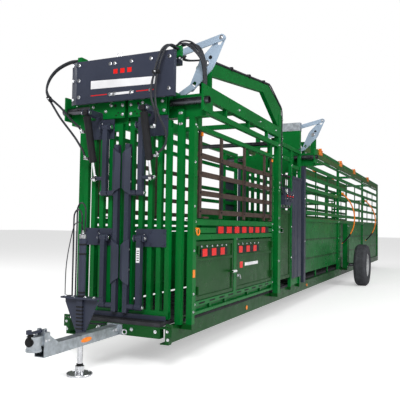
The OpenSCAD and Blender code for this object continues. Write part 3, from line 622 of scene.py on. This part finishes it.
def sills_and_channels():
    """Sills under the squeeze sides, and the deep top channels of the alley."""
    # The sills take the shaded copy of the green paint: painted shade.
    sill = Piece("floor_sills", "green_shaded", "frame", bevel=2)
    top = Piece("alley_top_channels", "olive", "frame", bevel=2)
    for sign in (-1, 1):
        sill.box(sorted((sign * 400, sign * 421)), (300, 2500), (325, 372))
        top.box(sorted((sign * 412, sign * 448)), (4172, 12446), (2204, 2283))
        top.box(sorted((sign * 404, sign * 454)), (4172, 12446), (1228, 1240))
    sill.done()
    top.done()


def boom_foot_bracket():
    """Bracket and valve housing at the boom's front end, behind the rocker."""
    piece = Piece("boom_front_bracket", "green", "frame", bevel=3)
    piece.box((470, 560), (470, 500), (2272, 2500))
    piece.box((440, 560), (400, 470), (2272, 2300))
    piece.rod((470, 452, 2392), (560, 452, 2392), 44, 32)
    piece.done()
    bolts = Piece("boom_front_bolts", "zinc", "frame")
    bolts.bolt((560, 452, 2392), RIGHT, 12)
    for z in (2330, 2460):
        bolts.bolt((560, 486, z), RIGHT, 8)
    bolts.done()


def sign_details():
    """Plain bars stand in for the lettering, so the panel says nothing."""
    white = Piece("sign_bars", "white", "frame", bevel=0)
    white.prism([(-304, 19.6, 2208), (308, 19.6, 2196), (307, 19.6, 2256), (-304, 19.6, 2276)],
                (0, 1, 0))
    white.prism([(-104, 19.6, 2140), (110, 19.6, 2140), (110, 19.6, 2160), (-104, 19.6, 2160)],
                (0, 1, 0))
    white.done()
    red = Piece("sign_lines", "red", "frame", bevel=0)
    for x0, x1 in ((-302, -142), (136, 309)):
        red.box((x0, x1), (19.4, 20.4), (2149, 2156))
    for x in (-84, -18, 48):
        red.box((x, x + 40), (19.4, 20.4), (2314, 2352))
    red.done()
    top = Piece("sign_top_studs", "zinc", "frame")
    for x in (-62, -24):
        top.rod((x, 44, 2450), (x, 44, 2486), 6)
        top.bolt((x, 44, 2450), UP, 8)
    top.done()
    edge = Piece("sign_edge_bolts", "zinc", "frame")
    for z in (2130, 2290, 2420):
        edge.bolt((-478, 12, z), (-0.31, -0.95, 0), 8)
    edge.done()


def carriage_plates():
    """Plates that join each leaf's bars to its carriage, with their bolts."""
    for side, sign in (("left", -1), ("right", 1)):
        green = Piece("carriage_plate_" + side, "green", "head_" + side)
        xs = sorted((sign * 10, sign * 368))
        green.box(xs, (97, 104), (1966, 2118))
        green.box(sorted((sign * 10, sign * 16)), (97, 146), (1966, 2118))
        green.done()
        bolts = Piece("carriage_bolts_" + side, "zinc", "head_" + side)
        for x, z in ((40, 2070), (40, 1996), (150, 2078), (205, 2030), (330, 2076), (345, 2000)):
            bolts.bolt((sign * x, 97, z), FRONTWARD, 9)
        bolts.done()
        # Black discs for the holes in the carriage plates: painted shade inside the holes.
        holes = Piece("carriage_hole_shade_" + side, "cap", "head_" + side, bevel=0)
        for x, z, r in ((110, 2072, 13), (80, 2010, 7), (100, 1990, 7)):
            holes.rod((sign * x, 98, z), (sign * x, 96.2, z), r)
        holes.done()


def neck_details():
    """Fasteners and caps of the neck bars, links and brackets."""
    for side, sign in (("left", -1), ("right", 1)):
        bolts = Piece("neck_bar_bolts_" + side, "zinc", "neck_bar_" + side)
        for z in (1640, 1440, 900, 740):
            bolts.bolt((sign * 74, 58, z), (sign, 0, 0), 7)
            bolts.bolt((sign * 62, 38, z), FRONTWARD, 7)
        bolts.done()
        for level, z in (("upper", 1890), ("lower", 990)):
            caps = Piece(f"{level}_link_pins_{side}", "zinc", "head_" + side, bevel=0.8)
            caps.rod((sign * 219, 60, z), (sign * 226, 60, z), 17)
            caps.rod((sign * 225, 60, z), (sign * 232, 60, z), 9, 6)
            caps.rod((sign * 113, 60, z), (sign * 119, 60, z), 17)
            caps.rod((sign * 212, 60, z + 20), (sign * 212, 60, z + 34), 4, 10)
            caps.done()
            link = Piece(f"{level}_link_plate_{side}", "slate", f"neck_{level}_{side}")
            top = z - 60
            link.box(sorted((sign * 151, sign * 189)), (38, 41), (top - 430, top))
            link.done()
        low = Piece("link_pin_nuts_" + side, "zinc", "neck_bar_" + side, bevel=0.6)
        for z in (1350, 450):
            low.rod((sign * 204, 60, z), (sign * 210, 60, z), 17)
            low.rod((sign * 209, 60, z), (sign * 217, 60, z), 9, 6)
        low.done()
        rod_pin = Piece("rod_pin_nut_" + side, "zinc", "neck_upper_" + side, bevel=0.6)
        rod_pin.rod((sign * 290, 60, 1470), (sign * 297, 60, 1470), 18)
        rod_pin.rod((sign * 296, 60, 1470), (sign * 305, 60, 1470), 10, 6)
        rod_pin.done()
        anchor = Piece("anchor_pin_nut_" + side, "zinc", "head_" + side, bevel=0.6)
        for x in (226, 300):
            anchor.rod((sign * x, -80, 1990), (sign * (x + 5), -80, 1990), 16)
        anchor.rod((sign * 304, -80, 1990), (sign * 313, -80, 1990), 10, 6)
        anchor.done()
        collar = Piece("gland_" + side, "black", "neck_barrel_" + side, bevel=0.6)
        lean = math.atan2(140, 520)
        down = Vector((0, math.sin(lean), -math.cos(lean)))
        head = Vector((sign * 265, -80, 1990))
        collar.rod(head + down * 366, head + down * 396, 32)
        collar.rod(head + down * 30, head + down * 58, 32)
        collar.rod(head + down * 396, head + down * 404, 20)
        collar.done()
    label = Piece("link_label", "white", "neck_lower_right", bevel=0)
    label.box((154, 186), (37.4, 38.4), (800, 915))
    label.done()
    marks = Piece("link_label_marks", "cap", "neck_lower_right", bevel=0)
    for i in range(5):
        marks.box((160, 180), (36.9, 37.6), (815 + 18 * i, 822 + 18 * i))
    marks.done()


GATE_SPACING = 3700


def rocker_details():
    """Pivot nuts of both rockers, and the nuts on the left leaves' arm pins."""
    for name, y in (("head_rocker", 0), ("tail_rocker", GATE_SPACING)):
        metal_parts = Piece(name + "_pivot", "zinc", name, bevel=0.8)
        metal_parts.rod((590, y + 361, 2420), (590, y + 354, 2420), 26)
        metal_parts.rod((590, y + 355, 2420), (590, y + 345, 2420), 15, 6)
        metal_parts.done()
        # A black disc for the hole in the rocker: painted shade inside the hole.
        pivot_hole_shade = Piece(name + "_hole", "cap", name, bevel=0)
        pivot_hole_shade.rod((622, y + 361.8, 2466), (622, y + 361, 2466), 16)
        pivot_hole_shade.done()
    for body, y in (("head_left", 0), ("tail_left", GATE_SPACING)):
        pin = Piece(body + "_arm_pin", "zinc", body, bevel=0.8)
        pin.rod((724.8, y + 346, 2612.5), (724.8, y + 338, 2612.5), 18)
        pin.rod((724.8, y + 340, 2612.5), (724.8, y + 331, 2612.5), 10, 6)
        pin.done()


# Body -----------------------------------------------------------------------------

def side_strips():
    """Dark kick strips with red blocks, door furniture and a plain decal."""
    dark = Piece("side_strips", "black", "side_right")
    dark.box((506, 513), (790, 2270), (1030, 1092))
    dark.done()
    red = Piece("side_strip_blocks", "red", "side_right")
    for i in range(7):
        y = 830 + 200 * i
        red.box((512.6, 515), (y, y + 118), (1031, 1091))
    red.done()
    for body, y0, y1 in (("front_door", 480, 1060), ("rear_door", 1330, 1960)):
        strip = Piece(body + "_strip", "black", body)
        strip.box((505.5, 509), (y0, y1), (838, 904))
        strip.done()
        blocks = Piece(body + "_blocks", "red", body)
        step = (y1 - y0) / 3
        for i in range(3):
            blocks.box((508.6, 511), (y0 + i * step + 30, y0 + i * step + 126), (839, 903))
        blocks.done()
        furniture = Piece(body + "_bolts", "zinc", body)
        for i in range(6):
            furniture.bolt((506, y0 + 20 + i * (y1 - y0 - 40) / 5, 924), RIGHT, 6)
        furniture.done()
    decal = Piece("door_decal", "white", "rear_door", bevel=0)
    decal.box((496, 497), (1560, 1960), (700, 732))
    decal.done()
    mark = Piece("door_decal_mark", "red", "rear_door", bevel=0)
    mark.box((496, 497), (1420, 1500), (686, 748))
    mark.done()
    handle = Piece("front_door_grip", "white", "front_door", bevel=2)
    handle.rod((540, 1124, 675), (540, 1212, 675), 12.5)
    handle.done()
    latch = Piece("rear_door_latch", "zinc", "rear_door")
    latch.box((506, 514), (1312, 1372), (610, 634))
    latch.rod((512, 1340, 622), (534, 1340, 622), 7)
    latch.rod((532, 1340, 622), (536, 1340, 590), 7)
    latch.done()
    for sign, side in ((1, "right"), (-1, "left")):
        # Thin black strips for the slots in the kick rail: painted shade in the gaps.
        slot_shades = Piece("kick_slot_shade_" + side, "cap", "side_" + side, bevel=0)
        for i in range(9):
            y = 450 + 215 * i
            x = sorted((sign * 509.4, sign * 510.4))
            slot_shades.box(x, (y, y + 120), (452, 466))
        slot_shades.done()
        bolts = Piece("side_bolts_" + side, "zinc", "side_" + side)
        for y in (366, 2434):
            for z in (1128, 1056, 460, 1905):
                bolts.bolt((sign * 510, y, z), (sign, 0, 0), 7)
        bolts.done()
        drops = Piece("drop_bolts_" + side, "black", "drop_" + side, bevel=0.6)
        for y in (442, 892, 1487, 2122, 2372):
            for z in (1215, 1370, 1530, 1685):
                drops.bolt((sign * 514, y, z), (sign, 0, 0), 6)
        drops.done()
        latch = Piece("drop_latch_" + side, "orange", "drop_" + side)
        for y in (450, 2372):
            latch.box(sorted((sign * 514, sign * 524)), (y - 16, y + 16), (1840, 1872))
        latch.done()


def drop_bars_dark():
    """Rubber sleeves on the drop panel's upright bars."""
    for sign, side in ((1, "right"), (-1, "left")):
        piece = Piece("drop_sleeves_" + side, "black", "drop_" + side)
        for y in (870, 1465, 2100):
            x = sorted((sign * 513.6, sign * 519))
            piece.box(x, (y - 3, y + 48), (1235, 1350))
            piece.box(x, (y - 3, y + 48), (1392, 1508))
            piece.box(x, (y - 3, y + 48), (1552, 1664))
        piece.done()


def post_details():
    bolts = Piece("post_bolts", "zinc", "frame")
    for z in (420, 560, 900, 1250, 1600, 1900):
        bolts.bolt((555, 251, z), RIGHT, 7)
    for x in (446, 464):
        for z in (1900, 1985):
            bolts.bolt((x, 175, z), FRONTWARD, 7)
    for y in (440, 1220, 1840, 2400):
        bolts.bolt((550, y, 2210), RIGHT, 8)
    for z in (2060, 2120):
        for x in (582, 618):
            bolts.bolt((x, 376, z), FRONTWARD, 8)
    for x in (-600, 620):
        bolts.bolt((x, 225, 2129), FRONTWARD, 5)
    bolts.done()
    orange = Piece("orange_markers", "orange", "frame", bevel=0.8)
    orange.rod((450, 1750, 255), (456, 1750, 255), 22)
    orange.rod((450, 4300, 255), (456, 4300, 255), 22)
    orange.box((555, 559), (232, 270), (688, 748))
    orange.done()
    hook = Piece("orange_ring", "orange", "frame", bevel=0)
    hook.ring((566, 296, 1048), RIGHT, 26, 6)
    hook.rod((553, 270, 1074), (566, 296, 1074), 6)
    hook.done()
    tread = Piece("front_step", "black", "frame")
    tread.box((-392, 392), (8, 84), (355.4, 361))
    tread.done()
    corner = Piece("front_corner_bolts", "zinc", "frame")
    for x in (-468, 468):
        corner.bolt((x, 0, 240), FRONTWARD, 8)
        corner.bolt((x - 6, 0, 300), FRONTWARD, 7)
    corner.done()


VALVE_ROW = (2740, 2860, 2980)


def valve_details():
    fins = Piece("valve_fins", "slate", "frame")
    for y in VALVE_ROW:
        for i in range(5):
            z = 1412 + 24 * i
            fins.box((508, 586), (y - 38, y + 38), (z, z + 9))
    fins.done()
    spools = Piece("valve_spools", "chrome", "frame", bevel=0.6)
    for y in VALVE_ROW:
        for dx in (-20, 12):
            spools.rod((550 + dx, y - 26, 1366), (550 + dx, y - 26, 1338), 9, 6)
        spools.rod((586, y, 1500), (604, y, 1500), 10, 6)
        spools.rod((586, y, 1440), (600, y, 1440), 8)
    spools.done()
    red = Piece("valve_caps", "red", "frame", bevel=0.8)
    for y in VALVE_ROW:
        red.rod((586, y + 24, 1470), (598, y + 24, 1470), 9)
    red.done()
    pipes = Piece("valve_hoses", "hose", "frame", bevel=0)
    for k, y in enumerate(middle - 26 for middle in VALVE_ROW):
        for j, dx in enumerate((-20, 12)):
            x, level = 550 + dx, 1328 + 2 * k
            run = y - 2656
            points = [(x, y, 1342), (x, y - 0.12 * run, level), (x - 6, y - 0.6 * run, level),
                      (x - 22, 2662 + 3 * k, 1322), (510 - 4 * j, 2652 + 3 * k, 1270),
                      (508, 2650 + 4 * k, 900), (506, 2646 + 4 * k, 620), (504, 2644 + 4 * k, 350)]
            pipes.tube(curve_through(points, 16), 7)
    pipes.done()
    gauge = Piece("pressure_gauge", "zinc", "frame", bevel=0.8)
    gauge.rod((586, 2700, 1530), (604, 2700, 1530), 26, 28)
    gauge.done()
    face = Piece("pressure_gauge_face", "white", "frame", bevel=0)
    face.rod((604, 2700, 1530), (605, 2700, 1530), 22, 28)
    face.done()


def cage_details():
    grip = Piece("cage_door_slot_rim", "zinc", "cage_door", bevel=0.8)
    for z in ((1024, 1030), (1075, 1081)):
        grip.box((473, 477), (2854, 2976), z)
    for y in ((2854, 2860), (2970, 2976)):
        grip.box((473, 477), y, (1024, 1081))
    grip.done()
    bolts = Piece("cage_bolts", "zinc", "frame")
    for z in (700, 1100, 1500, 1900):
        bolts.bolt((490, 3310, z), RIGHT, 7)
    for z in (900, 1500):
        bolts.bolt((500, 3975, z), RIGHT, 8)
    bolts.done()
    curtain = Piece("cage_curtains", "slate", "frame", bevel=2)
    for sign in (-1, 1):
        for i in range(5):
            y = 3330 + 90 * i
            x = sorted((sign * 491, sign * (496 + 4 * (i % 2))))
            curtain.box(x, (y, y + 92), (428, 1735))
        curtain.box(sorted((sign * 490, sign * 504)), (3324, 3788), (1735, 1765))
    curtain.done()


def alley_details():
    posts = (4110, 6700, 9690, 12450)
    bolts = Piece("alley_bolts", "zinc", "frame")
    # The ribs take the shaded copy of the green paint: painted shade.
    ribs = Piece("alley_ribs", "green_shaded", "frame")
    for sign in (-1, 1):
        for y in posts:
            for z in (1206, 2166, 2306, 900, 520):
                bolts.bolt((sign * 450, y + 30, z), (sign, 0, 0), 8)
        for a, b in zip(posts, posts[1:]):
            for z in (620, 900):
                ribs.box(sorted((sign * 424, sign * 430)), (a + 70, b - 10), (z, z + 24))
    bolts.done()
    ribs.done()
    knobs = Piece("cleat_pins", "zinc", "frame", bevel=0.6)
    for sign in (-1, 1):
        for y in (5050, 6800, 8350, 10400):
            knobs.rod((sign * 435, y + 40, 2344), (sign * 435, y + 40, 2362), 9)
            knobs.rod((sign * 435, y + 170, 2344), (sign * 435, y + 170, 2362), 9)
    knobs.done()
    for i, y in enumerate((6950, 9950), 1):
        grip = Piece(f"stop_handle_grip_{i}", "black", f"stop_{i}", bevel=0)
        mid = [(98 + 605 * math.cos(a), y, 1275 + 605 * math.sin(a))
               for a in (math.radians(-50 + 3 * k) for k in range(8))]
        grip.tube(curve_through(mid, 20), 15)
        grip.done()
        hub = Piece(f"stop_hub_bolt_{i}", "zinc", f"stop_{i}")
        hub.bolt((500, y, 1750), RIGHT, 11)
        hub.done()


# Running gear ---------------------------------------------------------------------

AXLE_Y = 7200
AXLE_Z = 390
WHEEL_X = 808


def wheel_details():
    for side, sign in (("left", -1), ("right", 1)):
        body = "wheel_" + side
        cap = Piece("hub_cap_" + side, "rim_nut", body)
        cap.rod((sign * 856, AXLE_Y, AXLE_Z), (sign * 878, AXLE_Y, AXLE_Z), 44, 32, 34)
        cap.rod((sign * 850, AXLE_Y, AXLE_Z), (sign * 860, AXLE_Y, AXLE_Z), 52, 32)
        cap.done()
        nuts = Piece("wheel_nuts_" + side, "rim_nut", body, bevel=0.8)
        for k in range(6):
            a = math.radians(60 * k + 30)
            y, z = AXLE_Y + 75 * math.cos(a), AXLE_Z + 75 * math.sin(a)
            nuts.rod((sign * 824, y, z), (sign * 846, y, z), 11, 6)
        nuts.done()
        tread = Piece("tread_" + side, "tyre", body, bevel=1.5)
        count = 56
        for row, x in enumerate((-54, -19, 19, 54)):
            for k in range(count):
                a = 2 * math.pi * (k + 0.5 * (row % 2)) / count
                spin = Matrix.Rotation(a, 3, "X") @ Matrix.Rotation(0.28 * (-1) ** row, 3, "Z")
                y, z = AXLE_Y - 389 * math.sin(a), AXLE_Z + 389 * math.cos(a)
                cx = sign * WHEEL_X + x
                tread.box((cx - 14, cx + 14), (y - 15, y + 15), (z - 4, z + 4), spin)
        tread.done()
        ribs = Piece("sidewall_ribs_" + side, "tyre", body, bevel=0)
        for radius, out in ((350, 109), (300, 117.5), (245, 110)):
            for rib_x in (WHEEL_X + out, WHEEL_X - out):
                ribs.ring((sign * rib_x, AXLE_Y, AXLE_Z), RIGHT, radius, 3, 72, 8)
        ribs.done()
    plate = Piece("axle_plate_welds", "green", "frame", bevel=2)
    for sign in (-1, 1):
        plate.rod((sign * 540, AXLE_Y, AXLE_Z), (sign * 556, AXLE_Y, AXLE_Z), 48, 32)
        for y in (7128, 7262):
            plate.box(sorted((sign * 540, sign * 546)), (y, y + 10), (330, 1176))
    plate.done()


def tongue_details():
    sticker = Piece("tongue_sticker", "orange", "frame", bevel=0)
    sticker.prism([(40.6, -420 + 62 * math.cos(a), 277 + 17 * math.sin(a))
                   for a in (2 * math.pi * k / 28 for k in range(28))], (-0.8, 0, 0))
    sticker.done()
    plug = Piece("lamp_plug", "cap", "frame", bevel=2)
    plug.rod((0, -962, 352), (0, -936, 352), 30, 28)
    plug.rod((0, -970, 352), (0, -962, 352), 24, 28)
    plug.box((-12, 12), (-958, -930), (376, 398))
    plug.done()
    hooks = Piece("chain_shackles", "zinc", "frame", bevel=0)
    for x in (96, -150):
        hooks.ring((x, -16, 268), (0.3, -1, 0), 17, 4.5)
        hooks.rod((x - 16, -14, 286), (x + 16, -14, 286), 5)
    hooks.done()
    rivets = Piece("coupler_bolts", "zinc", "frame")
    for y in (-845, -815):
        rivets.bolt((34, y, 345), RIGHT, 8)
        rivets.bolt((-34, y, 345), (-1, 0, 0), 8)
    rivets.bolt((40, -50, 285), RIGHT, 8)
    rivets.bolt((-40, -50, 285), (-1, 0, 0), 8)
    rivets.done()


def jack_details():
    cap = Piece("jack_cap", "zinc", "frame")
    cap.rod((-66, -350, 988), (-66, -350, 1020), 27, 28)
    cap.rod((-66, -350, 1018), (-66, -350, 1032), 15, 6)
    cap.rod((-66, -350, 1026), (-66, -350, 1050), 8)
    cap.done()
    bands = Piece("jack_bands", "black", "frame", bevel=1.5)
    for z in (940, 870, 590, 566):
        bands.rod((-66, -350, z), (-66, -350, z + 12), 29.5, 28)
    for k in range(7):
        bands.box((-93, -39), (-377, -323), (330 + 26 * k, 342 + 26 * k))
    bands.done()
    bolts = Piece("jack_bolts", "zinc", "frame")
    for x in (-190, -120, -14, 62):
        bolts.bolt((x, -372, 564), UP, 9)
    bolts.done()
    leg = Piece("jack_leg_collar", "cap", "jack")
    leg.rod((-66, -350, 66), (-66, -350, 84), 24)
    leg.done()
    rim = Piece("jack_foot_rim", "zinc", "jack", bevel=0)
    rim.ring((-66, -350, 12), UP, 90, 4, 48, 8)
    rim.done()
    hose_piece("jack_cable", [(-66, -350, 1040), (-66, -351, 1070), (-72, -352, 1090),
                              (-85, -354, 1104), (-103, -356, 1109), (-121, -358, 1104),
                              (-135, -360, 1090), (-149, -362, 1052), (-166, -364, 980),
                              (-184, -368, 880), (-196, -370, 780), (-200, -370, 680),
                              (-200, -370, 575)], ("frame",), radius=3.5)
    jack_hose("jack_hose_rise", -52, 1190)
    jack_hose("jack_hose_return", -82, 1140)


def jack_hose(name, x, top):
    """Up out of the jack's head, over in a half circle, down behind the jack's plate and
    along to the base."""
    bend, across, back = 64, -0.90, 0.40
    points = [(x, -342, 1022), (x, -342, 1070), (x, -342, 1110)]
    for step in range(7):
        turn = math.radians(30 * step)
        reach = bend * (1 - math.cos(turn))
        points.append((x + across * reach, -342 + back * reach, top + bend * math.sin(turn)))
    low = x + 2 * bend * across
    points += [(low, -291, 1000), (low, -291, 820), (low, -291, 640), (low + 1, -290, 520),
               (low + 5, -280, 450), (low + 16, -246, 388), (low + 38, -180, 346),
               (low + 62, -100, 324), (low + 76, -36, 314), (low + 78, -3, 312)]
    hose_piece(name, points, ("frame",), radius=6)


def add_pieces():
    neck_hoses()
    port_elbows()
    hose_clamps()
    boom_hose_run()
    header_hose_tangle()
    boom_foot_bracket()
    sills_and_channels()
    sign_details()
    carriage_plates()
    neck_details()
    rocker_details()
    side_strips()
    drop_bars_dark()
    post_details()
    valve_details()
    cage_details()
    alley_details()
    wheel_details()
    tongue_details()
    jack_details()


add_pieces()

# Stage ----------------------------------------------------------------------------


def make_stage():
    mesh = bpy.data.meshes.new("floor")
    bm = bmesh.new()
    bmesh.ops.create_grid(bm, x_segments=1, y_segments=1, size=60)
    bm.to_mesh(mesh)
    bm.free()
    floor = bpy.data.objects.new("floor", mesh)
    floor.location.z = CAD_BOX[0].z - 0.0005
    bpy.context.scene.collection.objects.link(floor)
    s = Shade("floor_stage")
    s.bsdf.inputs["Base Color"].default_value = (0.86, 0.86, 0.86, 1)
    s.bsdf.inputs["Roughness"].default_value = 0.9
    s.bsdf.inputs["Emission Color"].default_value = (1, 1, 1, 1)
    seen = s.node("ShaderNodeLightPath").outputs["Is Camera Ray"]
    s.tree.links.new(s.math("MULTIPLY", seen, 0.4), s.bsdf.inputs["Emission Strength"])
    mesh.materials.append(s.mat)
    world = bpy.data.worlds.new("studio")
    bpy.context.scene.world = world
    world.use_nodes = True
    tree = world.node_tree
    sky = tree.nodes["Background"]
    sky.inputs["Color"].default_value = (1, 1, 1, 1)
    ray = tree.nodes.new("ShaderNodeLightPath").outputs
    level = tree.nodes.new("ShaderNodeMapRange")
    level.inputs["To Min"].default_value = 0.42
    level.inputs["To Max"].default_value = 1.0
    tree.links.new(ray["Is Camera Ray"], level.inputs["Value"])
    dimmer = tree.nodes.new("ShaderNodeMath")
    dimmer.operation = "MULTIPLY_ADD"
    dimmer.inputs[1].default_value = -0.28
    tree.links.new(ray["Is Glossy Ray"], dimmer.inputs[0])
    tree.links.new(level.outputs["Result"], dimmer.inputs[2])
    tree.links.new(dimmer.outputs[0], sky.inputs["Strength"])
    for name, place, target, size, power in (
            ("key", (3.5, -13.0, 6.5), (0, -4.0, 1.2), 3.0, 620),
            ("side", (10.0, -4.0, 6.0), (0, 0.0, 1.0), 5.0, 560),
            ("left", (-9.0, -7.0, 6.0), (0, -2.0, 1.2), 5.0, 420)):
        data = bpy.data.lights.new(name, "AREA")
        data.size = size
        data.energy = power
        lamp = bpy.data.objects.new(name, data)
        lamp.location = place
        lamp.rotation_euler = (Vector(target) - Vector(place)).to_track_quat("-Z", "Y").to_euler()
        bpy.context.scene.collection.objects.link(lamp)
    bpy.context.scene.view_settings.view_transform = "Standard"


make_stage()
